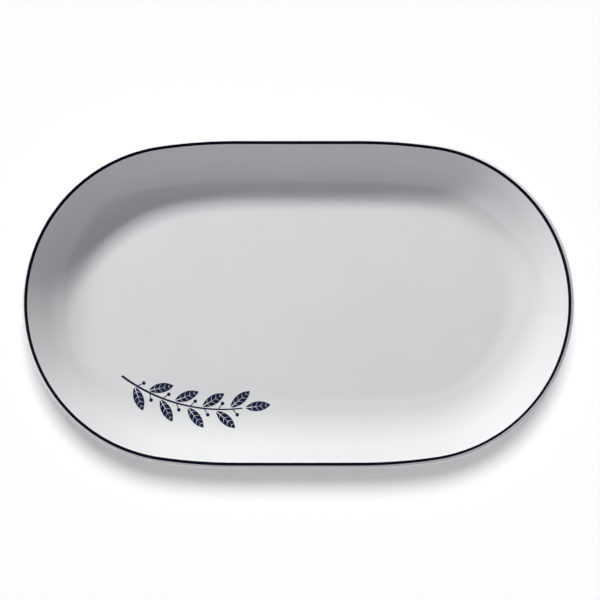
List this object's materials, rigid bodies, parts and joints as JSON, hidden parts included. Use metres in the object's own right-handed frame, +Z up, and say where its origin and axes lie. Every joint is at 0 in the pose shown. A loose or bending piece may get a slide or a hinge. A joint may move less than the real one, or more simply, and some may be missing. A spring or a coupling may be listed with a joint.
{
  "type": "oval serving platter",
  "caption": "White glazed porcelain coupe platter, long oval with round ends, coved sloping wall, navy rim line, leaf-sprig print and foot ring, for serving food.",
  "frame": {"origin": "middle of the foot ring on the table plane, under the centre of the platter", "axes": "+X along the platter's length, with the print on the -X -Y side; +Z up out of the well"},
  "size_m": [0.36, 0.215, 0.027],
  "materials": {
    "bare_porcelain": "unglazed fired porcelain, smooth and matt",
    "white_glaze": "clear glossy glaze over white porcelain",
    "navy_line": "glossy navy in-glaze colour",
    "navy_print": "navy transfer print, fired to a soft gloss"
  },
  "bodies": {
    "root": {"porcelain_body": "bare_porcelain", "face_glaze": "white_glaze", "back_glaze": "white_glaze", "base_glaze": "white_glaze", "rim_band": "navy_line", "sprig_stem": "navy_print", "sprig_leaves": "navy_print", "sprig_berries": "navy_print"}
  },
  "joints": []
}
